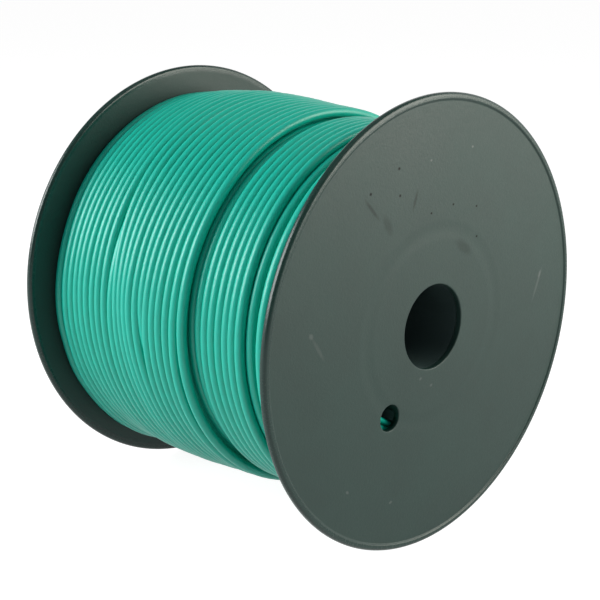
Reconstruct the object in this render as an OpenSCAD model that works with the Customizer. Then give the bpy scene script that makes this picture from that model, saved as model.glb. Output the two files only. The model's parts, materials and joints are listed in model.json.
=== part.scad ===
// Wire spool: two flanges on a barrel, a bearing tube through the middle, and one length of wire.
// The spool lies on its rims. Its axis runs along Y, the front flange faces -Y and +Z is up.
// The origin is on the spool's axis, half way between the flanges.
// Each piece is drawn along its own +z and laid down by along_axis(), so local +z is the front.

/* [Flanges] */
// Diameter of each flange
flange_d = 125; // [116:1:170]
// Overall width of the spool, over the beads of both flanges
overall_w = 101.4; // [85:0.1:140]
// Thickness of the flange's flat web
web_t = 1.8; // [1.2:0.1:3]
// Width of the raised bead round the rim
bead_w = 2; // [1.6:0.1:3]
// Height of the bead above the web's outer face
bead_h = 0.4; // [0.2:0.1:0.8]
// Rounding of the bead's edge towards the web
bead_round = 0.6; // [0.4:0.05:0.6]
// Rounding of the hollow at the bead's foot
foot_round = 0.5; // [0.3:0.1:1]
// Rounding of the rim's two outer corners, where its thickness allows it
rim_round = 0.95; // [0.4:0.05:1]

/* [Bore and start hole] */
// Diameter of the bore through the spool
bore_d = 23.4; // [18:0.1:30]
// Diameter of the small hole that the wire's start goes through
start_hole_d = 7.3; // [5:0.1:9]
// Direction of the small hole from the axis, counted from +X towards +Z
start_hole_angle = 231.3; // [0:0.1:360]

/* [Barrel] */
// Outer diameter of the barrel
barrel_d = 55; // [50:0.5:60]
// Wall of the barrel
barrel_wall = 2.5; // [1.5:0.1:3.5]
// Length of the spigot ring that plugs into the barrel
spigot_l = 6; // [3:0.5:12]
// Wall of the spigot ring
spigot_wall = 1.8; // [1.2:0.1:3]
// Depth of the notch that carries the start hole on into the barrel's end
notch_l = 8; // [4:0.5:16]

/* [Arbor tube] */
// Wall of the arbor tube
arbor_wall = 1.8; // [1.2:0.1:2.5]
// Length of the socket ring that holds the arbor tube's end
socket_l = 4; // [2:0.5:8]
// Wall of the socket ring
socket_wall = 1.8; // [1.2:0.1:2.5]

/* [Wire] */
// Diameter of the insulated wire
wire_d = 2.8; // [2.2:0.1:3.2]
// Layers of wire on the barrel, the part-filled outer one included
layers = 11; // [6:1:12]
// Rise from one layer to the next, in wire diameters
nesting = 0.9; // [0.87:0.01:1]
// Turns in the top layer, which starts at the rear flange and stops part way
top_turns = 21; // [8:1:24]
// Slack left between the top layer's turns
top_slack = 0.07; // [0:0.01:0.1]
// How much lower the top layer lies where it starts, at the rear flange
rear_drop = 2.4; // [0:0.1:2.4]
// Length over which it rises from there to its full radius
rear_rise_l = 25; // [15:1:40]
// Least slack between the lower layer's turns, where it shows
lower_slack = 0.15; // [0.1:0.05:1]
// How much the lower layer's spacing grows on the way to the front flange, as a share of itself
loosening = 0.06; // [0:0.01:0.08]
// Radius of the bend where a wire end dives under its neighbours
dive_bend_r = 3; // [2.5:0.1:5]

/* [Fits] */
// Radial clearance between a ring and the tube that it holds
ring_fit = 0.1; // [0.05:0.05:0.3]
// Gap between neighbouring turns, taken off the wire as it is drawn
turn_gap = 0.45; // [0.42:0.01:0.6]
// Clearance between the wire and what it lies on or against
wire_seat = 0.05; // [0.02:0.01:0.2]
// Clearance round a wire end in its pocket
pocket_fit = 0.2; // [0.1:0.05:0.4]

/* [Hidden] */
$fn = 96;

PLASTIC = [0.30, 0.34, 0.32];
PLASTIC_INNER = [0.22, 0.26, 0.25];
INSULATION = [0.12, 0.68, 0.56];
INSULATION_BURIED = [0.06, 0.50, 0.41];

// A cut runs this far past the face that it leaves.
OVERRUN = 1;

flange_r = flange_d / 2;
flange_t = web_t + bead_h;
inner_z = overall_w / 2 - flange_t;
bore_r = bore_d / 2;
barrel_r = barrel_d / 2;
barrel_bore_r = barrel_r - barrel_wall;
arbor_r = bore_r + arbor_wall;

// The rim's roundings leave a flat between them, so each takes less than half of its thickness.
corner_round = min(rim_round, 0.45 * flange_t);

// The winding's layers nest, so each adds less than a whole wire.
winding_r = barrel_r + wire_d + (layers - 1) * nesting * wire_d;
lower_r = winding_r - nesting * wire_d;

// Turns are drawn as six-sided tubes, with one flat towards the axis.
RINGS_PER_TURN = 21;
SIDES = 6;
JOG_RINGS = 4;
DIVE_RINGS = 2;
step_angle = 360 / RINGS_PER_TURN;
tube_d = wire_d - turn_gap;
tube_flat = tube_d / 2 * cos(180 / SIDES);
half_side = tube_d / 2 * sin(180 / SIDES);

// The top layer's turns start at the rear flange. Its last turn rests half on the core's shoulder
// and half on the lower layer's first turn, and from there on the lower layer shows.
top_pitch = wire_d + top_slack;
top_first_z = wire_seat + tube_d / 2 - inner_z;
top_span = (top_turns - 1) * top_pitch;
shoulder_z = top_first_z + top_span;
lower_first_z = shoulder_z + wire_seat + tube_d / 2;
lower_span = inner_z - wire_seat - tube_d / 2 - lower_first_z;
lower_turns = 1 + floor(lower_span / (wire_d + lower_slack));

// The wire ends lie on one side of the spool, counted from +X towards +Z. Where the top layer ends,
// the lower layer starts just beyond, in the place that its own turns leave free.
jog_angle = JOG_RINGS * step_angle;
dive_reach = dive_bend_r + tube_d;
ends_apart = 2 * dive_reach / lower_r * 180 / PI;
top_start_angle = 20;
lower_start_angle = top_start_angle - jog_angle + ends_apart;

// A turn is a chain of chords: it is set out so that it lies on its true radius on average.
function ring_r(outer_r) = (outer_r - tube_flat) / cos(step_angle / 4);
function core_r(outer_r) = ring_r(outer_r) * cos(step_angle / 2) - tube_flat - wire_seat;

// A layer's outer radius at z, where it lies lower by drop at the rear flange and rises from there.
function risen_r(outer_r, drop, z) = outer_r - drop * max(0, 1 - (z + inner_z) / rear_rise_l);

function smooth(t) = t * t * (3 - 2 * t);

// Where turn k lies, as a share of the layer's span; the spacing grows evenly from turn to turn.
function turn_place(k, turns, growth) =
    let (u = k / (turns - 1))
    u + growth * (u * u - u);

// Each turn lies square to the axis and steps over to the next in the last JOG_RINGS of its rings.
function ring_place(i, turns, growth) =
    let (k = floor(i / RINGS_PER_TURN),
         across = smooth(max(0, i % RINGS_PER_TURN - RINGS_PER_TURN + JOG_RINGS) / JOG_RINGS))
    turn_place(k, turns, growth) * (1 - across) + turn_place(k + 1, turns, growth) * across;

// A point at a distance x from the axis and y along the turn, seen from the given angle.
function polar(angle, x, y, z) =
    [x * cos(angle) - y * sin(angle), x * sin(angle) + y * cos(angle), z];

// A wire end's bend from the turn's direction to straight down, then one tube diameter of straight.
function dive(angle, r, z, way) = concat(
    [for (j = [1:DIVE_RINGS])
        let (bend = 90 * j / DIVE_RINGS)
        polar(angle, r - dive_bend_r * (1 - cos(bend)), way * dive_bend_r * sin(bend), z)],
    [polar(angle, r - dive_bend_r - tube_d, way * dive_bend_r, z)]);

function reversed(list) = [for (i = [len(list) - 1:-1:0]) list[i]];

// One layer's route: out of the core, round and round, and back into it.
function route_steps(turns) = turns * RINGS_PER_TURN - JOG_RINGS;
function layer_route(turns, first_z, span, growth, outer_r, drop, start_angle) =
    let (steps = route_steps(turns))
    concat(
        reversed(dive(start_angle, ring_r(risen_r(outer_r, drop, first_z)), first_z, -1)),
        [for (i = [0:steps])
            let (z = first_z + span * ring_place(i, turns, growth))
            polar(start_angle + i * step_angle, ring_r(risen_r(outer_r, drop, z)), 0, z)],
        dive(start_angle - jog_angle, ring_r(risen_r(outer_r, drop, first_z + span)),
             first_z + span, 1));

function unit(v) = v / norm(v);
function heading(route, i) =
    unit(route[min(i + 1, len(route) - 1)] - route[max(i - 1, 0)]);

// The corners of ring i: one axis of the ring lies along the spool's axis, as near as it can.
function ring_points(route, i) =
    let (ahead = heading(route, i),
         side = unit([0, 0, 1] - ahead[2] * ahead),
         out = cross(ahead, side))
    [for (k = [0:SIDES - 1])
        route[i] + tube_d / 2 * (cos(k * 360 / SIDES) * side + sin(k * 360 / SIDES) * out)];

// Least distance between the centre lines of turns that lie side by side, less the tube itself.
function to_chord(p, a, b) =
    let (t = max(0, min(1, (p - a) * (b - a) / ((b - a) * (b - a)))))
    norm(p - a - t * (b - a));
function least_gap(route) =
    let (last = len(route) - 1)
    min([for (i = [0:last - RINGS_PER_TURN], j = [i + floor(RINGS_PER_TURN / 2):last - 1])
        to_chord(route[i], route[j], route[j + 1])]) - tube_d;

top_route = layer_route(top_turns, top_first_z, top_span, 0, winding_r, rear_drop,
                        top_start_angle);
lower_route = layer_route(lower_turns, lower_first_z, lower_span, loosening, lower_r, 0,
                          lower_start_angle);

// The real wire's length: every layer but the top one is full.
function turn_length(layer) = 2 * PI * (barrel_r + wire_d / 2 + (layer - 1) * nesting * wire_d);
function total(list) = list * [for (item = list) 1];
wire_length = top_turns * turn_length(layers)
    + 2 * inner_z / wire_d * total([for (layer = [1:layers - 1]) turn_length(layer)]);

echo(top_turns = top_turns, lower_turns = lower_turns, wire_length_m = wire_length / 1000);
echo(top_layer_least_gap = least_gap(top_route), lower_layer_least_gap = least_gap(lower_route));

module along_axis() {
    rotate([90, 0, 0])
        children();
}

module tube(outer_r, hole_r, length) {
    difference() {
        cylinder(r = outer_r, h = length, center = true);
        cylinder(r = hole_r, h = length + 2 * OVERRUN, center = true);
    }
}

// The rim's outline, with the inner face of the flange at y = 0 and the spool's axis at x = 0.
module rim_profile() {
    bead_x = flange_r - bead_w;
    corner_x = flange_r - corner_round;
    translate([bead_x, 0])
        square([corner_x - bead_x, flange_t - bead_round]);
    translate([bead_x + bead_round, 0])
        square([corner_x - bead_x - bead_round, flange_t]);
    translate([corner_x, corner_round])
        square([corner_round, flange_t - 2 * corner_round]);
    translate([bead_x + bead_round, flange_t - bead_round])
        circle(r = bead_round);
    for (y = [corner_round, flange_t - corner_round])
        translate([corner_x, y])
            circle(r = corner_round);
}

// The hollow at the bead's foot meets the web and the bead's rounded edge without a corner.
module foot_profile() {
    bead_centre = [flange_r - bead_w + bead_round, flange_t - bead_round];
    rise = web_t + foot_round - bead_centre[1];
    reach = sqrt(pow(bead_round + foot_round, 2) - rise * rise);
    foot_centre = [bead_centre[0] - reach, web_t + foot_round];
    touch = bead_centre + bead_round * unit(foot_centre - bead_centre);
    difference() {
        polygon([[foot_centre[0], 0], [bead_centre[0], 0], bead_centre, touch,
                 [foot_centre[0], touch[1]]]);
        translate(foot_centre)
            circle(r = foot_round);
    }
}

// One flange, its inner face at z = 0 and its outer face towards +z.
module flange() {
    spigot_r = barrel_bore_r - ring_fit;
    socket_bore_r = arbor_r + ring_fit;
    difference() {
        union() {
            rotate_extrude() {
                translate([bore_r, 0])
                    square([flange_r - bead_w - bore_r, web_t]);
                rim_profile();
                foot_profile();
            }
            translate([0, 0, -spigot_l / 2])
                tube(spigot_r, spigot_r - spigot_wall, spigot_l);
            translate([0, 0, -socket_l / 2])
                tube(socket_bore_r + socket_wall, socket_bore_r, socket_l);
        }
        start_hole(-spigot_l, web_t);
    }
}

// The small hole's centre lies on the barrel's outer face, so a wire passes on either side of it.
module start_hole(from_z, to_z) {
    rotate([0, 0, start_hole_angle])
        translate([barrel_r, 0, from_z - OVERRUN])
            cylinder(d = start_hole_d, h = to_z - from_z + 2 * OVERRUN);
}

module front_flange() {
    color(PLASTIC)
        along_axis()
            translate([0, 0, inner_z])
                flange();
}

// The rear flange is the same moulding, turned half round about the upright through the centre.
module rear_flange() {
    color(PLASTIC)
        rotate([0, 0, 180])
            along_axis()
                translate([0, 0, inner_z])
                    flange();
}

module barrel() {
    color(PLASTIC_INNER)
        along_axis()
            difference() {
                tube(barrel_r, barrel_bore_r, 2 * inner_z);
                start_hole(inner_z - notch_l, inner_z);
                rotate([0, 180, 0])
                    start_hole(inner_z - notch_l, inner_z);
            }
}

module arbor_tube() {
    color(PLASTIC_INNER)
        along_axis()
            tube(arbor_r, bore_r, 2 * inner_z);
}

// The slot that a wire end dives into; its floor is square to the end's straight run.
module dive_pocket(angle, outer_r, z, way) {
    r = ring_r(outer_r);
    length = dive_bend_r + tube_d / 2 + pocket_fit;
    width = tube_d + 2 * pocket_fit;
    rotate([0, 0, angle])
        translate([r - dive_reach, min(0, way * length), z - width / 2])
            cube([dive_reach + tube_d, length, width]);
}

// The pockets for both ends of one layer's route.
module layer_pockets(first_z, span, outer_r, drop, start_angle) {
    dive_pocket(start_angle, risen_r(outer_r, drop, first_z), first_z, -1);
    dive_pocket(start_angle - jog_angle, risen_r(outer_r, drop, first_z + span), first_z + span, 1);
}

// What the top layer is wound on: it rises from the rear flange and ends in a shoulder. The rise
// starts half a tube's side late, so that a turn's flat clears it on its higher side too.
module top_seat() {
    rise_z = half_side - inner_z;
    low_r = core_r(winding_r - rear_drop);
    full_r = core_r(winding_r);
    translate([0, 0, -inner_z])
        cylinder(r = low_r, h = half_side);
    translate([0, 0, rise_z])
        cylinder(r1 = low_r, r2 = full_r, h = rear_rise_l);
    translate([0, 0, rise_z + rear_rise_l])
        cylinder(r = full_r, h = shoulder_z - rise_z - rear_rise_l);
}

// All the layers that don't show, as one plain drum with a step where the top layer stops.
module wire_inner_layers() {
    color(INSULATION_BURIED)
        along_axis()
            difference() {
                union() {
                    cylinder(r = core_r(lower_r), h = 2 * inner_z, center = true);
                    top_seat();
                }
                cylinder(r = barrel_r + wire_seat, h = 2 * (inner_z + OVERRUN), center = true);
                layer_pockets(top_first_z, top_span, winding_r, rear_drop, top_start_angle);
                layer_pockets(lower_first_z, lower_span, lower_r, 0, lower_start_angle);
            }
}

// One unbroken tube along a route, closed at both ends.
module wound_tube(route) {
    rings = len(route);
    last = (rings - 1) * SIDES;
    points = [for (i = [0:rings - 1]) each ring_points(route, i)];
    faces = concat(
        [for (i = [0:rings - 2], k = [0:SIDES - 1])
            [i * SIDES + k, (i + 1) * SIDES + (k + 1) % SIDES, i * SIDES + (k + 1) % SIDES]],
        [for (i = [0:rings - 2], k = [0:SIDES - 1])
            [i * SIDES + k, (i + 1) * SIDES + k, (i + 1) * SIDES + (k + 1) % SIDES]],
        [for (k = [1:SIDES - 2]) [0, k, k + 1]],
        [for (k = [1:SIDES - 2]) [last, last + k + 1, last + k]]);
    polyhedron(points = points, faces = faces, convexity = 10);
}

module wire_lower_layer() {
    color(INSULATION)
        along_axis()
            wound_tube(lower_route);
}

module wire_top_layer() {
    color(INSULATION)
        along_axis()
            wound_tube(top_route);
}

front_flange();
rear_flange();
barrel();
arbor_tube();
wire_inner_layers();
wire_lower_layer();
wire_top_layer();
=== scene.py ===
"""How the wire spool looks: moulded flanges, and one length of wire wound on in real turns.

Lengths in this script are millimetres in the part's own frame, and MM turns them into the metres
that Blender takes. The spool's axis runs along Y and the front flange faces -Y. A point of the
winding has a place, which is its distance in front of the spool's middle, an angle round the axis
in degrees, counted from +X towards +Z, and a radius.
"""
import json
import math

import bpy
import bmesh
import numpy as np
from mathutils import Matrix, Vector


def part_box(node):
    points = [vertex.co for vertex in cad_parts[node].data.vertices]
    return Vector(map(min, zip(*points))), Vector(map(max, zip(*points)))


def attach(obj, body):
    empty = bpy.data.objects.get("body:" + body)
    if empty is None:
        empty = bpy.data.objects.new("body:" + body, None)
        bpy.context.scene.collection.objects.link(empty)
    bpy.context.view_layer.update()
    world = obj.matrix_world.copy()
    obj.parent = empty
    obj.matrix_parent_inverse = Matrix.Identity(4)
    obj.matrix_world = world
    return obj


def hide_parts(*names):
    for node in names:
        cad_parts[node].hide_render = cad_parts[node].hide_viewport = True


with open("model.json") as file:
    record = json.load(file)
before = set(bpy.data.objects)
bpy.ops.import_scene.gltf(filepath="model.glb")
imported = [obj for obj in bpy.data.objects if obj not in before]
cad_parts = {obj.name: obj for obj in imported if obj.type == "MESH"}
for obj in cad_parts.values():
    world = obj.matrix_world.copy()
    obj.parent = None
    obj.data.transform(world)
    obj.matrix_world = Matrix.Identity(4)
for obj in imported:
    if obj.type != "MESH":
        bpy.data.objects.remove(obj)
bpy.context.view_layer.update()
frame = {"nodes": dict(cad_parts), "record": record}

MM = 0.001
WHITE = (1.0, 1.0, 1.0, 1.0)


# ---------------------------------------------------------------- sizes, from the frame
def node_reach(node, axis):
    """How far a node reaches from the origin along an axis, in millimetres."""
    low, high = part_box(node)
    return max(abs(low[axis]), abs(high[axis])) / MM


HAIR = 0.002  # keeps the meshes inside the CAD model's box
flange_r = min(node_reach("front_flange", 0), node_reach("front_flange", 2)) - HAIR
half_width = node_reach("front_flange", 1) - HAIR
inner_a = node_reach("barrel", 1)  # where the flanges' inner faces stand
barrel_r = node_reach("barrel", 0)
arbor_r = node_reach("arbor_tube", 0)
bore_mount = next(m for m in frame["record"]["mounts"] if m["name"] == "bore")
bore_r = bore_mount["dims"]["r_mm"]

# The flanges' mouldings, as in the CAD model.
flange_t = half_width - inner_a
bead_h = 0.4
web_t = flange_t - bead_h
bead_w = 2.0
bead_round = 0.6
foot_round = 0.5
rim_round = 0.95
barrel_wall = 2.5
ring_fit = 0.1
ring_wall = 1.8
spigot_l = 6.0
socket_l = 4.0
start_hole_d = 7.3
start_hole_angle = math.radians(231.3)

# Finer ones, which the CAD model leaves out.
bore_round = 0.35
hole_round = 0.3
sink_inset = 1.0  # from the barrel's outer face to the middle of the sink ring
sink_reach = 3.2
sink_depth = 0.07

# The wire.
wire_d = 2.8
wire_r = wire_d / 2
wire_seat = 0.05  # clearance between the wire and the plastic
nesting = 0.9  # what a layer adds, as a share of the wire's thickness
layer_rise = nesting * wire_d


# ---------------------------------------------------------------- shader nodes
def new_material(name):
    material = bpy.data.materials.new(name)
    material.use_nodes = True
    tree = material.node_tree
    return material, tree, tree.nodes["Principled BSDF"]


def add(tree, kind, **settings):
    """A new node, with values for its inputs and properties."""
    node = tree.nodes.new(kind)
    for key, value in settings.items():
        if key in node.inputs:
            node.inputs[key].default_value = value
        else:
            setattr(node, key, value)
    return node


def noise(tree, vector, scale, detail, roughness):
    node = add(tree, "ShaderNodeTexNoise", Scale=scale, Detail=detail, Roughness=roughness)
    tree.links.new(vector, node.inputs["Vector"])
    return node.outputs["Fac"]


def spread(tree, value, low, high, to_low, to_high):
    """Map a value from one range to another, clamped."""
    node = add(tree, "ShaderNodeMapRange", **{"From Min": low, "From Max": high,
                                              "To Min": to_low, "To Max": to_high})
    tree.links.new(value, node.inputs["Value"])
    return node.outputs["Result"]


def vary(tree, pattern, low, high):
    """A value that follows a noise pattern, most of which lies between 0.3 and 0.7."""
    return spread(tree, pattern, 0.3, 0.7, low, high)


def maths(tree, operation, first, second):
    node = add(tree, "ShaderNodeMath", operation=operation)
    for socket, value in zip(node.inputs, (first, second)):
        if isinstance(value, (int, float)):
            socket.default_value = value
        else:
            tree.links.new(value, socket)
    return node.outputs["Value"]


def toned(tree, colour, tone):
    """A fixed colour times a varying tone."""
    fixed = add(tree, "ShaderNodeRGB").outputs[0]
    fixed.default_value = colour
    node = add(tree, "ShaderNodeVectorMath", operation="SCALE")
    tree.links.new(fixed, node.inputs[0])
    tree.links.new(tone, node.inputs["Scale"])
    return node.outputs["Vector"]


def covered(tree, base, colour, share):
    """A varying colour with a share of a fixed one over it."""
    node = add(tree, "ShaderNodeMix", data_type="RGBA")
    inputs = {socket.name: socket for socket in node.inputs if socket.type == "RGBA"}
    tree.links.new(share, node.inputs["Factor"])
    tree.links.new(base, inputs["A"])
    inputs["B"].default_value = colour
    return next(socket for socket in node.outputs if socket.type == "RGBA")


def bump(tree, shader, height, distance, strength):
    node = add(tree, "ShaderNodeBump", Distance=distance * MM, Strength=strength)
    tree.links.new(height, node.inputs["Height"])
    tree.links.new(node.outputs["Normal"], shader.inputs["Normal"])


def length_of(tree, vector):
    node = add(tree, "ShaderNodeVectorMath", operation="LENGTH")
    tree.links.new(vector, node.inputs[0])
    return node.outputs["Value"]


def from_axis(tree, point):
    """A point's distance from the spool's axis, in metres."""
    flat = add(tree, "ShaderNodeVectorMath", operation="MULTIPLY")
    tree.links.new(point, flat.inputs[0])
    flat.inputs[1].default_value = (1.0, 0.0, 1.0)
    return length_of(tree, flat.outputs["Vector"])


# ---------------------------------------------------------------- materials
PLASTIC = (0.014, 0.040, 0.034, 1.0)
TUBE_PLASTIC_PAINTED_LIGHT = (0.036, 0.060, 0.060, 1.0)  # lighter than the flanges' plastic, as painted light, so that the unlit bore isn't quite black
PALE_WEAR = (0.17, 0.18, 0.18, 1.0)
INSULATION = (0.001, 0.47, 0.355, 1.0)
PLASTIC_IOR = 1.45
INSULATION_IOR = 1.54

# The flanges' rims are smoother: by how much, and where that starts and is whole, inside the edge.
RIM_SHEEN = 0.20
RIM_BAND = (2.2, 1.4)

# Specks, scuffs and scratches on the front flange's outer face, each a small ellipse: its place
# (x, z), half its length and width, its tilt in degrees, and how pale it is, or how dark below 0.
FACE_MARKS = [
    (-15, 45, 0.6, 0.5, 0, -1.0), (-25.5, 40, 0.6, 0.5, 0, -1.0), (-14.5, 38, 0.5, 0.5, 0, -1.0),
    (7, 32.5, 0.5, 0.4, 0, -1.0), (17, 30.5, 0.5, 0.4, 0, -1.0), (-2, 31.5, 0.5, 0.4, 0, -1.0),
    (17.5, 22, 0.5, 0.4, 0, -1.0), (-8.5, 36, 3.5, 0.7, 71, -0.4), (-25, 36, 5.0, 0.7, -48, -0.4),
    (-19, 31, 4.0, 1.6, -60, -0.3), (12, 20, 5.0, 2.0, -35, -0.3), (47, 2.5, 6.0, 0.6, 66, 0.25),
    (48, 5.5, 1.5, 0.6, 66, 0.35), (-44, 4, 4.6, 0.7, -58, 0.15), (-46.5, 8, 1.1, 0.8, -50, 0.30),
    (-5, -13.5, 0.7, 0.5, 20, 0.35), (-0.5, -16.5, 0.7, 0.5, 20, 0.35),
    (-33.5, -37.5, 0.8, 0.5, -40, 0.35), (-16.5, -46, 0.8, 0.5, 10, 0.35),
    (14.5, 47, 0.5, 0.4, 0, 0.5), (-2.5, 45.5, 0.5, 0.4, 0, 0.5)]
MARK_CORE = 0.4  # a mark is whole over this share of its reach, and fades from there
MARK_DULLING = 0.4  # how much rougher a wholly dark mark is


def face_mark(tree, point, x, z, length, width, tilt, strength):
    """How strongly a mark shows at a point."""
    spot = add(tree, "ShaderNodeMapping", vector_type="TEXTURE")
    tree.links.new(point, spot.inputs["Vector"])
    spot.inputs["Location"].default_value = (x * MM, -(inner_a + web_t) * MM, z * MM)
    spot.inputs["Rotation"].default_value = (0.0, -math.radians(tilt), 0.0)
    spot.inputs["Scale"].default_value = (length * MM, MM, width * MM)
    return spread(tree, length_of(tree, spot.outputs["Vector"]), MARK_CORE, 1.0, strength, 0.0)


def plastic_material(name, colour, marks=()):
    """Dark grey-green moulded polystyrene: satin, faintly mottled, with handling marks."""
    material, tree, shader = new_material(name)
    point = add(tree, "ShaderNodeTexCoord").outputs["Object"]
    mottle = noise(tree, point, scale=90.0, detail=4.0, roughness=0.6)
    cloud = noise(tree, point, scale=22.0, detail=2.0, roughness=0.5)
    tone = maths(tree, "ADD", vary(tree, mottle, -0.06, 0.06), vary(tree, cloud, 0.95, 1.05))
    pale = dark = 0.0
    for *ellipse, strength in marks:
        shown = face_mark(tree, point, *ellipse, abs(strength))
        if strength > 0:
            pale = maths(tree, "ADD", pale, shown)
        else:
            dark = maths(tree, "ADD", dark, shown)
    body = toned(tree, colour, maths(tree, "SUBTRACT", tone, dark))
    if marks:
        body = covered(tree, body, PALE_WEAR, pale)
    tree.links.new(body, shader.inputs["Base Color"])
    grain = noise(tree, point, scale=1800.0, detail=3.0, roughness=0.65)
    rough = maths(tree, "ADD", vary(tree, cloud, 0.42, 0.48), vary(tree, grain, -0.05, 0.05))
    rough = maths(tree, "ADD", rough, maths(tree, "MULTIPLY", dark, MARK_DULLING))
    rim_start, rim_whole = ((flange_r - inset) * MM for inset in RIM_BAND)
    sheen = spread(tree, from_axis(tree, point), rim_start, rim_whole, 0.0, RIM_SHEEN)
    tree.links.new(maths(tree, "SUBTRACT", rough, sheen), shader.inputs["Roughness"])
    shader.inputs["IOR"].default_value = PLASTIC_IOR
    bump(tree, shader, grain, distance=0.07, strength=0.6)
    return material


def insulation_material(name):
    """Teal-green PVC insulation: satin, with a slightly uneven skin and small shifts of tint."""
    material, tree, shader = new_material(name)
    point = add(tree, "ShaderNodeTexCoord").outputs["Object"]
    turn = add(tree, "ShaderNodeAttribute", attribute_name="turn").outputs["Fac"]
    along = add(tree, "ShaderNodeCombineXYZ")
    tree.links.new(turn, along.inputs["X"])
    drift = noise(tree, along.outputs["Vector"], scale=0.9, detail=2.0, roughness=0.6)
    skin = noise(tree, point, scale=500.0, detail=3.0, roughness=0.6)
    tone = maths(tree, "ADD", vary(tree, drift, 0.95, 1.05), vary(tree, skin, -0.03, 0.03))
    tree.links.new(toned(tree, INSULATION, tone), shader.inputs["Base Color"])
    tree.links.new(vary(tree, skin, 0.33, 0.41), shader.inputs["Roughness"])
    shader.inputs["IOR"].default_value = INSULATION_IOR
    ripple = noise(tree, point, scale=900.0, detail=3.0, roughness=0.6)
    bump(tree, shader, ripple, distance=0.03, strength=0.25)
    return material


# ---------------------------------------------------------------- meshes
def paint(thing, material):
    """Give an object one material and no other."""
    thing.data.materials.clear()
    thing.data.materials.append(material)


def finish_piece(piece, material, node):
    """Show a new piece in place of a CAD node."""
    paint(piece, material)
    bpy.context.scene.collection.objects.link(piece)
    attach(piece, "root")
    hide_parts(node)


def shade_smooth(mesh):
    mesh.polygons.foreach_set("use_smooth", [True] * len(mesh.polygons))


def mesh_from(name, points, faces):
    """A smooth mesh from points in millimetres, with all its faces turned outward."""
    mesh = bpy.data.meshes.new(name)
    mesh.from_pydata([tuple(p) for p in np.asarray(points) * MM], [], faces)
    shade_smooth(mesh)
    mesh.update()
    work = bmesh.new()
    work.from_mesh(mesh)
    bmesh.ops.recalc_face_normals(work, faces=work.faces)
    work.to_mesh(mesh)
    work.free()
    return mesh


def grid_faces(rows, columns, rows_close, columns_close):
    """Faces between rows of points, which may close into a ring either way."""
    faces = []
    for i in range(rows if rows_close else rows - 1):
        here, there = i * columns, (i + 1) % rows * columns
        for j in range(columns if columns_close else columns - 1):
            k = (j + 1) % columns
            faces.append((here + j, here + k, there + k, there + j))
    return faces


def full_turn(steps):
    """Equal steps round a circle, in radians."""
    return np.linspace(0, 2 * math.pi, steps, endpoint=False)


def arc(centre, radius, start, stop, steps):
    """Points on an arc, from one angle to another in degrees."""
    angles = np.radians(np.linspace(start, stop, steps + 1))
    return [(centre[0] + radius * math.cos(t), centre[1] + radius * math.sin(t)) for t in angles]


def lathe(name, profile, segments):
    """A closed outline of (radius, place) turned about the axis."""
    radii, forward = np.array(profile).T
    turn = full_turn(segments)
    points = np.stack([np.outer(np.cos(turn), radii),
                       np.outer(np.ones(segments), -forward),
                       np.outer(np.sin(turn), radii)], axis=-1).reshape(-1, 3)
    return mesh_from(name, points, grid_faces(segments, len(profile), True, True))


# ---------------------------------------------------------------- flanges
FLANGE_SEGMENTS = 288
HOLE_SEGMENTS = 64
CUTTER_SPARE = 1.0  # how far the cutter reaches past the plastic at either end


def sink_ring():
    """A shallow ring sunk in the outer face over the barrel's end."""
    middle = barrel_r - sink_inset
    return [(middle + sink_reach * t, web_t - sink_depth * (1 + math.cos(math.pi * t)) / 2)
            for t in np.linspace(-1, 1, 13)]


def flange_profile():
    """Radius and height above the flange's inner face, all the way round the section."""
    bead_x = flange_r - bead_w + bead_round
    bead_y = flange_t - bead_round
    rise = web_t + foot_round - bead_y
    reach = math.sqrt((bead_round + foot_round) ** 2 - rise ** 2)
    foot = (bead_x - reach, web_t + foot_round)
    lean = math.degrees(math.atan2(rise, -reach))
    spigot_r = barrel_r - barrel_wall - ring_fit
    socket_r = arbor_r + ring_fit
    return (
        arc((bore_r + bore_round, bore_round), bore_round, 270, 180, 4)
        + arc((bore_r + bore_round, web_t - bore_round), bore_round, 180, 90, 5)
        + sink_ring()
        + arc(foot, foot_round, 270, 180 + lean, 6)
        + arc((bead_x, bead_y), bead_round, lean, 90, 6)
        + arc((flange_r - rim_round, flange_t - rim_round), rim_round, 90, 0, 12)
        + arc((flange_r - rim_round, rim_round), rim_round, 0, -90, 12)
        + [(spigot_r, 0), (spigot_r, -spigot_l), (spigot_r - ring_wall, -spigot_l),
           (spigot_r - ring_wall, 0), (socket_r + ring_wall, 0),
           (socket_r + ring_wall, -socket_l), (socket_r, -socket_l), (socket_r, 0)])


def start_hole_cutter():
    """A round cutter that flares where it leaves the outer face."""
    radius = start_hole_d / 2
    flare_r = radius + hole_round
    top = inner_a + web_t
    side = ([(radius, inner_a - spigot_l - CUTTER_SPARE)]
            + arc((flare_r, top - hole_round), hole_round, 180, 90, 5)
            + [(flare_r, top + CUTTER_SPARE)])
    x, z = barrel_r * math.cos(start_hole_angle), barrel_r * math.sin(start_hole_angle)
    points = [(x + r * math.cos(t), -a, z + r * math.sin(t))
              for t in full_turn(HOLE_SEGMENTS) for r, a in side]
    count = len(side)
    faces = grid_faces(HOLE_SEGMENTS, count, True, False)
    for end in (0, count - 1):
        faces.append(tuple(i * count + end for i in range(HOLE_SEGMENTS)))
    return mesh_from("start_hole_cutter", points, faces)


def cut(mesh, cutter_mesh):
    """The first mesh less the second."""
    body = bpy.data.objects.new("cut_body", mesh)
    cutter = bpy.data.objects.new("cutter", cutter_mesh)
    for thing in (body, cutter):
        bpy.context.scene.collection.objects.link(thing)
    modifier = body.modifiers.new("cut", "BOOLEAN")
    modifier.operation = "DIFFERENCE"
    modifier.solver = "EXACT"
    modifier.object = cutter
    graph = bpy.context.evaluated_depsgraph_get()
    result = bpy.data.meshes.new_from_object(body.evaluated_get(graph), depsgraph=graph)
    for thing in (body, cutter):
        bpy.data.objects.remove(thing)
    return result


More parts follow.
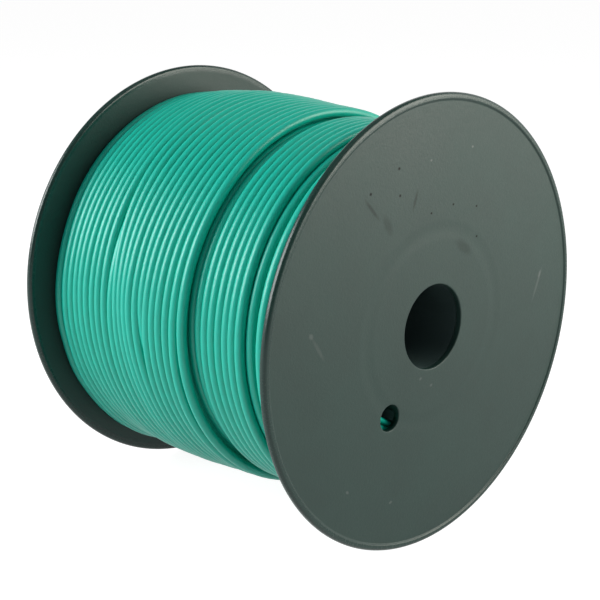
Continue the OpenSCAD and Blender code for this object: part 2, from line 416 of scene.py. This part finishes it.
def weight_normals(piece):
    """Keep flat faces flat in the shading, beside their rounded edges."""
    modifier = piece.modifiers.new("weighted_normals", "WEIGHTED_NORMAL")
    modifier.keep_sharp = True
    modifier.weight = 60


def make_flanges(material):
    """One moulding, and the same one turned half round."""
    profile = [(r, inner_a + h) for r, h in flange_profile()]
    mesh = cut(lathe("front_flange_moulding", profile, FLANGE_SEGMENTS), start_hole_cutter())
    shade_smooth(mesh)
    for name, node, turned in (("front_flange_moulding", "front_flange", 0.0),
                               ("rear_flange_moulding", "rear_flange", math.pi)):
        shape = mesh.copy()
        shape.transform(Matrix.Rotation(turned, 4, "Z"))
        piece = bpy.data.objects.new(name, shape)
        weight_normals(piece)
        finish_piece(piece, material, node)


# ---------------------------------------------------------------- winding
RINGS_PER_TURN = 120
SIDES = 16
BURIED_SEGMENTS = 180
START_ANGLE = 20.0
JOG = (311.0, 380.0)  # where each turn crosses over to the next one's place


def smooth(value, start, stop):
    """From 0 to 1, with soft ends, as a value goes from start to stop."""
    t = np.clip((value - start) / (stop - start), 0.0, 1.0)
    return t * t * (3 - 2 * t)


def keyed(x, keys):
    """A curve through given (x, y) pairs, level at each of them."""
    x = np.asarray(x, float)
    out = np.full(x.shape, float(keys[0][1]))
    for (x0, y0), (x1, y1) in zip(keys[:-1], keys[1:]):
        out = np.where(x >= x0, y0 + (y1 - y0) * smooth(x, x0, x1), out)
    return out


def lined(x, keys):
    """Straight lines through given (x, y) pairs."""
    return np.interp(x, [k[0] for k in keys], [k[1] for k in keys])


def places(first, runs):
    """Places of neighbouring turns: a first one, then (how many, spacing) for each run."""
    out = [first]
    for count, spacing in runs:
        for _ in range(count):
            out.append(out[-1] + spacing)
    return np.array(out)


# The surface's radius at places along the winding, for each of the two layers that show.
TOP_SURFACE = [(-48.5, 54.3), (-36.0, 55.9), (-23.0, 56.9), (-11.0, 56.6), (1.0, 55.6),
               (11.0, 55.0)]
LOWER_SURFACE = [(9.0, 53.0), (22.0, 53.0), (32.0, 52.8), (48.5, 52.2)]

# Where the top layer's turns lie: over the top of the spool, on its left side, and underneath. The
# places change from one to the next between the angles of COMES_UP and of GOES_UNDER. Over the top
# one turn, WEDGE_IN, is still buried, by SINK, and it comes up between its neighbours on the left
# side. Lower down another, WEDGE_OUT, goes under.
TOP_TURNS = 22
OVER_TOP = places(-46.9, [(1, 3.9), (1, 3.6), (1, 3.4), (1, 3.2), (1, 3.0), (3, 2.7), (1, 1.4),
                          (1, 1.3), (3, 3.0), (8, 2.55)])
ON_SIDE = places(-46.6, [(1, 4.1), (2, 3.0), (2, 2.8), (3, 3.1), (1, 2.9), (1, 2.3), (3, 1.75),
                         (2, 2.55), (1, 2.1), (2, 2.35), (3, 2.9)])
UNDER = places(-46.6, [(1, 4.2), (4, 2.9), (2, 3.1), (2, 2.95), (2, 2.7), (1, 2.2), (2, 1.95),
                       (2, 1.25), (4, 2.55), (1, 3.9)])
WEDGE_IN = 9
WEDGE_OUT = 15
COMES_UP = (125.0, 182.0)
GOES_UNDER = (168.0, 208.0)
SINK = 2.4

# Beside the rear flange the top layer lies unevenly, low on the upper left and high underneath:
# its lift at each angle, and the places over which that dies away.
REAR_LIFT = [(0, 0.0), (90, -0.1), (125, -0.6), (155, -0.6), (192, 0.7), (210, 1.4), (240, 2.6),
             (290, 1.4), (360, 0.0)]
REAR_LIFT_ENDS = (-46.0, -33.0)

# Where the lower layer's turns lie. Three of them have sunk between their neighbours. After the
# last of these there is a gap, and the layer below is hollow under it.
LOWER_TURNS = 13
LOWER_PLACES = places(9.8, [(1, 2.6), (1, 4.3), (1, 2.6), (1, 2.8), (1, 2.6), (1, 2.4), (1, 2.6),
                            (1, 2.1), (1, 5.6), (3, 3.1)])
LOWER_DIPS = {0: 1.6, 1: 1.6, 8: 1.9}
LOWER_HOLLOW = [(31.0, 0.0), (33.5, 1.7), (36.5, 1.7), (38.5, 0.0)]

# By the barrel the turns stand back from the front flange, by this much at each radius, and the
# innermost one is narrow. The start hole shows both.
FIRST_TURNS_BACK = [(30.0, 1.3), (34.0, 0.0)]
FIRST_TURN_W = 1.9

# How each end of the wire bends down among its neighbours.
DIVE_BEND_R = 4.0
DIVE_BEND = 80.0
DIVE_STEPS = 8

WOBBLE_RATES = (0.31, 0.73, 1.37, 2.9)  # waves in each full turn of the wire


def wobble(angle, seed, size):
    """A small slow wandering, in millimetres, that is the same on every run."""
    draw = np.random.default_rng(seed)
    out = np.zeros_like(angle)
    for rate in WOBBLE_RATES:
        out += draw.uniform(0.4, 1.0) * np.sin(np.radians(angle) * rate + draw.uniform(0, 6.28))
    return out * size / 2


def layer_rings(turns):
    """For each ring of a layer: its whole angle, its turn and the next, its angle, and its jog.

    A turn's own angle runs from START_ANGLE to a full turn more, and the jog goes from 0 to 1 as
    the wire crosses over to the next turn's place.
    """
    steps = int((turns - 1) * RINGS_PER_TURN + (JOG[0] - START_ANGLE) / 360 * RINGS_PER_TURN)
    total = START_ANGLE + np.arange(steps + 1) * 360.0 / RINGS_PER_TURN
    turn = np.minimum(((total - START_ANGLE) // 360).astype(int), turns - 1)
    after = np.minimum(turn + 1, turns - 1)
    angle = total - turn * 360.0
    return total, turn, after, angle, smooth(angle, *JOG)


def top_route():
    """The top layer's route: angle, place and surface radius of each ring."""
    total, turn, after, angle, jog = layer_rings(TOP_TURNS)
    side = smooth(angle, *COMES_UP)
    under = smooth(angle, *GOES_UNDER)
    place = OVER_TOP[turn] * (1 - side) + ON_SIDE[turn] * side
    place = place * (1 - under) + UNDER[turn] * under
    place = place * (1 - jog) + OVER_TOP[after] * jog
    place = np.maximum(place + wobble(total, seed=3, size=0.10), wire_r - inner_a)
    sunk = np.where(turn == WEDGE_IN, 1 - side, 0.0)
    sunk = np.where(turn == WEDGE_IN - 1, np.maximum(sunk, jog), sunk)
    sunk = np.where(turn == WEDGE_OUT, under * (1 - jog), sunk)
    lift = keyed(total % 360, REAR_LIFT) * (1 - smooth(place, *REAR_LIFT_ENDS))
    surface = lined(place, TOP_SURFACE) + lift - SINK * sunk
    return total, place, surface + wobble(total, seed=7, size=0.06)


def lower_route():
    """The lower layer's route, where the top one doesn't cover it."""
    total, turn, after, _, jog = layer_rings(LOWER_TURNS)
    place = LOWER_PLACES[turn] * (1 - jog) + LOWER_PLACES[after] * jog
    place = np.minimum(place + wobble(total, seed=11, size=0.12), inner_a - wire_r)
    dips = np.array([LOWER_DIPS.get(k, 0.0) for k in range(LOWER_TURNS)])
    surface = lined(place, LOWER_SURFACE) - (dips[turn] * (1 - jog) + dips[after] * jog)
    return total, place, surface + wobble(total, seed=13, size=0.06)


def dive(total, place, radius, way):
    """A wire end's last stretch: way is 1 past the route's end, and -1 before its start."""
    out = []
    for i in range(1, DIVE_STEPS + 1):
        t = math.radians(DIVE_BEND * i / DIVE_STEPS)
        along = DIVE_BEND_R * math.sin(t)
        down = DIVE_BEND_R * (1 - math.cos(t))
        out.append((total + way * math.degrees(along / radius), place, radius - down))
    return out[::way]


def wound_tube(name, total, place, surface):
    """One unbroken tube along a route, with a smooth skin and closed ends."""
    route = np.stack([total, place, surface - wire_r], axis=1)
    route = np.concatenate([dive(*route[0], -1), route, dive(*route[-1], 1)])
    total, place, radius = route.T
    angle = np.radians(total)
    centre = np.stack([radius * np.cos(angle), -place, radius * np.sin(angle)], axis=1)
    ahead = np.gradient(centre, axis=0)
    ahead /= np.linalg.norm(ahead, axis=1, keepdims=True)
    forward = np.array([0.0, -1.0, 0.0])
    side = forward - ahead * (ahead @ forward)[:, None]
    side /= np.linalg.norm(side, axis=1, keepdims=True)
    out = np.cross(side, ahead)
    around = full_turn(SIDES)[None, :, None]
    skin = centre[:, None] + wire_r * (np.cos(around) * side[:, None]
                                       + np.sin(around) * out[:, None])
    rings = len(centre)
    faces = grid_faces(rings, SIDES, False, True)
    for end in (0, rings - 1):
        faces.append(tuple(end * SIDES + k for k in range(SIDES)))
    mesh = mesh_from(name, skin.reshape(-1, 3), faces)
    attribute = mesh.attributes.new("turn", "FLOAT", "POINT")
    attribute.data.foreach_set("value", np.repeat(total / 360.0, SIDES))
    return mesh


def scallops(start, stop, along_axis, base, outward, steps=6):
    """Half-round turns side by side from start to stop, on a base line.

    They run along the axis, standing out in radius, or across it, standing out in place.
    """
    count = max(1, round(abs(stop - start) / wire_d))
    pitch = (stop - start) / count
    out = []
    for i in range(count):
        middle = start + pitch * (i + 0.5)
        for j in range(steps):
            t = math.pi * (1 - j / steps)
            along = middle + pitch / 2 * math.cos(t)
            height = base(along) + outward * wire_r * math.sin(t)
            out.append((height, along) if along_axis else (along, height))
    return out


def buried_profile():
    """The buried layers' outline: turns side by side outside and on both ends."""
    step_a = LOWER_PLACES[0] - wire_r
    depth = layer_rise + wire_r  # from the surface to the middle of the turns below
    inner = barrel_r + wire_seat
    end = inner_a - wire_seat
    face = end - wire_r
    rear_top = lined(-end, TOP_SURFACE) - depth
    front_top = lined(end, LOWER_SURFACE) - depth
    narrow = inner + FIRST_TURN_W
    profile = scallops(inner, rear_top, False, lambda r: -face, -1)
    profile += scallops(-face, step_a, True, lambda a: lined(a, TOP_SURFACE) - depth, 1)
    profile += scallops(step_a, face, True, lambda a: (
        lined(a, LOWER_SURFACE) - depth - float(keyed(a, LOWER_HOLLOW))), 1)
    for start, stop in ((front_top, narrow), (narrow, inner)):
        profile += scallops(start, stop, False,
                            lambda r: face - float(keyed(r, FIRST_TURNS_BACK)), 1, steps=12)
    return profile + [(inner, face - FIRST_TURNS_BACK[0][1])]


def make_winding(material):
    for name, node, mesh in (
            ("wire_top_turns", "wire_top_layer", wound_tube("wire_top_turns", *top_route())),
            ("wire_lower_turns", "wire_lower_layer",
             wound_tube("wire_lower_turns", *lower_route())),
            ("wire_buried_turns", "wire_inner_layers",
             lathe("wire_buried_turns", buried_profile(), BURIED_SEGMENTS))):
        finish_piece(bpy.data.objects.new(name, mesh), material, node)


# ---------------------------------------------------------------- camera, light and floor
LENS = 76.03
CAMERA_PLACE = (-252.6, -257.1, 103.2)
CAMERA_RIGHT = (0.7132, -0.7009, -0.0067)
CAMERA_BACK = (-0.6711, -0.6856, 0.2821)

WORLD_LIGHT = 0.21  # the room's strength where it lights things; to look at, it is 1
DIM_SIDE = (-0.60, -0.10, 0.79)  # which way the part of the room lies that glossy things see dim
DIM_EDGE = (-0.20, 0.30)  # how far towards that side the dimming starts and is whole
DIM_SHARE = 0.95

FLOOR_REACH = 3000
FLOOR_COLOUR = (0.58, 0.58, 0.58, 1.0)
FLOOR_GLOW = 0.92
FLOOR_GLOW_MIRRORED = 0.65  # the weaker glow that glossy things mirror
FLOOR_SHADE = 0.5  # how much of the light and shadow on it shows


def make_camera():
    """The photograph's view: 600 by 600, with the spool's axis nearly level."""
    data = bpy.data.cameras.new("camera")
    data.sensor_width = 36.0
    data.lens = LENS
    right = Vector(CAMERA_RIGHT).normalized()
    up = Vector(CAMERA_BACK).normalized().cross(right).normalized()
    back = right.cross(up)
    camera = bpy.data.objects.new("camera", data)
    camera.matrix_world = (Matrix.Translation(Vector(CAMERA_PLACE) * MM)
                           @ Matrix((right, up, back)).transposed().to_4x4())
    bpy.context.scene.collection.objects.link(camera)
    bpy.context.scene.camera = camera


def softbox(name, towards, distance, size, power, colour=WHITE[:3]):
    """A rectangular lamp that faces the spool."""
    data = bpy.data.lights.new(name, "AREA")
    data.shape = "RECTANGLE"
    data.size = size[0] * MM
    data.size_y = size[1] * MM
    data.energy = power
    data.color = colour
    lamp = bpy.data.objects.new(name, data)
    aim = Vector(towards).normalized()
    lamp.matrix_world = (Matrix.Translation(aim * distance * MM)
                         @ aim.to_track_quat("Z", "Y").to_matrix().to_4x4())
    bpy.context.scene.collection.objects.link(lamp)
    return lamp


def make_lights():
    softbox("key", (-0.75, 0.59, 0.40), distance=900, size=(600, 540), power=9.1)
    fill = softbox("fill", (-0.55, -0.75, 0.35), distance=900, size=(700, 700), power=0.4)
    fill.visible_glossy = False
    softbox("overhead", (0.1, -0.2, 1.0), distance=1000, size=(900, 700), power=0.6)
    softbox("front", (0.56, -0.76, 0.33), distance=600, size=(380, 520), power=3.4,
            colour=(1.0, 1.0, 0.90))


def seen_directly(tree):
    """1 for camera, glossy and transmission rays, and 0 for the rays that light things."""
    path = add(tree, "ShaderNodeLightPath")
    some = maths(tree, "MAXIMUM", path.outputs["Is Camera Ray"], path.outputs["Is Glossy Ray"])
    return maths(tree, "MAXIMUM", some, path.outputs["Is Transmission Ray"])


def make_world():
    """A photographer's room: white to look at, with a soft even light on everything.

    Glossy things mirror the white backdrop round the spool and below it, and a dim room above it
    and on its left.
    """
    world = bpy.data.worlds.new("studio")
    bpy.context.scene.world = world
    world.use_nodes = True
    tree = world.node_tree
    background = tree.nodes["Background"]
    background.inputs["Color"].default_value = WHITE
    towards = add(tree, "ShaderNodeVectorMath", operation="DOT_PRODUCT")
    tree.links.new(add(tree, "ShaderNodeTexCoord").outputs["Generated"], towards.inputs[0])
    towards.inputs[1].default_value = DIM_SIDE
    dimming = spread(tree, towards.outputs["Value"], *DIM_EDGE, 0.0, DIM_SHARE)
    glossy = add(tree, "ShaderNodeLightPath").outputs["Is Glossy Ray"]
    kept = maths(tree, "SUBTRACT", 1.0, maths(tree, "MULTIPLY", glossy, dimming))
    level = spread(tree, seen_directly(tree), 0.0, 1.0, WORLD_LIGHT, 1.0)
    tree.links.new(maths(tree, "MULTIPLY", level, kept), background.inputs["Strength"])


def scaled_shader(tree, node, share):
    """A diffuse shader at part of its strength."""
    mix = add(tree, "ShaderNodeMixShader", Fac=share)
    black = add(tree, "ShaderNodeBsdfDiffuse", Color=(0.0, 0.0, 0.0, 1.0))
    tree.links.new(black.outputs["BSDF"], mix.inputs[1])
    tree.links.new(node.outputs["BSDF"], mix.inputs[2])
    return mix.outputs["Shader"]


def floor_material():
    """Matt, with a glow that only shows and doesn't light, which makes it white in full light."""
    material, tree, shader = new_material("pale_floor")
    tree.nodes.remove(shader)
    diffuse = add(tree, "ShaderNodeBsdfDiffuse", Color=FLOOR_COLOUR)
    glow = add(tree, "ShaderNodeEmission", Color=WHITE)
    glossy = add(tree, "ShaderNodeLightPath").outputs["Is Glossy Ray"]
    tree.links.new(spread(tree, glossy, 0.0, 1.0, FLOOR_GLOW, FLOOR_GLOW_MIRRORED),
                   glow.inputs["Strength"])
    lifted = add(tree, "ShaderNodeAddShader")
    tree.links.new(scaled_shader(tree, diffuse, FLOOR_SHADE), lifted.inputs[0])
    tree.links.new(glow.outputs["Emission"], lifted.inputs[1])
    mix = add(tree, "ShaderNodeMixShader")
    tree.links.new(seen_directly(tree), mix.inputs["Fac"])
    tree.links.new(diffuse.outputs["BSDF"], mix.inputs[1])
    tree.links.new(lifted.outputs["Shader"], mix.inputs[2])
    tree.links.new(mix.outputs["Shader"], tree.nodes["Material Output"].inputs["Surface"])
    return material


def make_floor():
    """A pale floor under the flanges' rims."""
    reach = FLOOR_REACH * MM
    mesh = bpy.data.meshes.new("floor")
    mesh.from_pydata([(x * reach, y * reach, -flange_r * MM)
                      for x, y in ((-1, -1), (1, -1), (1, 1), (-1, 1))], [], [(0, 1, 2, 3)])
    mesh.materials.append(floor_material())
    floor = bpy.data.objects.new("floor", mesh)
    bpy.context.scene.collection.objects.link(floor)


# ---------------------------------------------------------------- the scene
def main():
    make_camera()
    plastic = plastic_material("moulded_plastic", PLASTIC, FACE_MARKS)
    # the tubes show only inside the bore, and their lighter plastic is painted light there
    tube_plastic_painted_light = plastic_material("tube_plastic_painted_light", TUBE_PLASTIC_PAINTED_LIGHT)
    insulation = insulation_material("wire_pvc")
    make_flanges(plastic)
    for node in ("barrel", "arbor_tube"):
        paint(frame["nodes"][node], tube_plastic_painted_light)
    make_winding(insulation)
    make_floor()
    make_world()
    make_lights()
    bpy.context.scene.view_settings.view_transform = "Standard"


main()
